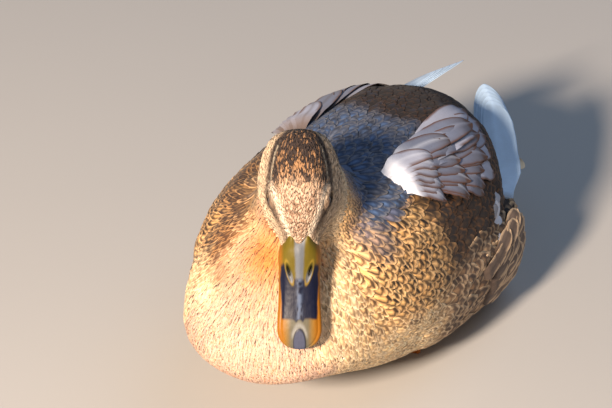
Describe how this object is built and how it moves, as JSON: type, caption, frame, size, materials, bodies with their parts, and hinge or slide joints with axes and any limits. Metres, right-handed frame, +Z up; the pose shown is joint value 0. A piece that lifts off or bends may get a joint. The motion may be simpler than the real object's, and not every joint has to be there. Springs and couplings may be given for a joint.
{
  "type": "resting duck figure",
  "caption": "Life-size still figure of a pale hen duck of the mallard kind, lying on its belly with its head drawn back and its bill laid down on its breast.",
  "frame": {"origin": "a point on the belly's flat, which lies on the floor, below the middle of the trunk", "axes": "the bird faces -Y with its tail towards +Y, its left side is +X, and +Z is up"},
  "size_m": [0.1594, 0.3206, 0.1812],
  "materials": {
    "body_plumage": "soft matt feathers, warm cream buff",
    "wing_plumage": "matt feathers, grey brown with buff edges",
    "flight_plumage": "smooth stiff feathers, pale grey",
    "crown_plumage": "short matt feathers, streaked brown",
    "bill_horn": "smooth horn, dull orange with a dark saddle",
    "eye": "wet dark brown",
    "foot_skin": "scaly orange skin"
  },
  "bodies": {
    "root": {"trunk": "body_plumage", "neck": "body_plumage", "flank_left": "body_plumage", "flank_right": "body_plumage", "head": "crown_plumage", "wing_left": "wing_plumage", "wing_right": "wing_plumage", "tail": "wing_plumage", "primaries_left": "flight_plumage", "primaries_right": "flight_plumage", "bill_upper": "bill_horn", "bill_lower": "bill_horn", "eye_left": "eye", "eye_right": "eye", "leg_left": "foot_skin", "leg_right": "foot_skin", "foot_left": "foot_skin", "foot_right": "foot_skin"}
  },
  "joints": []
}
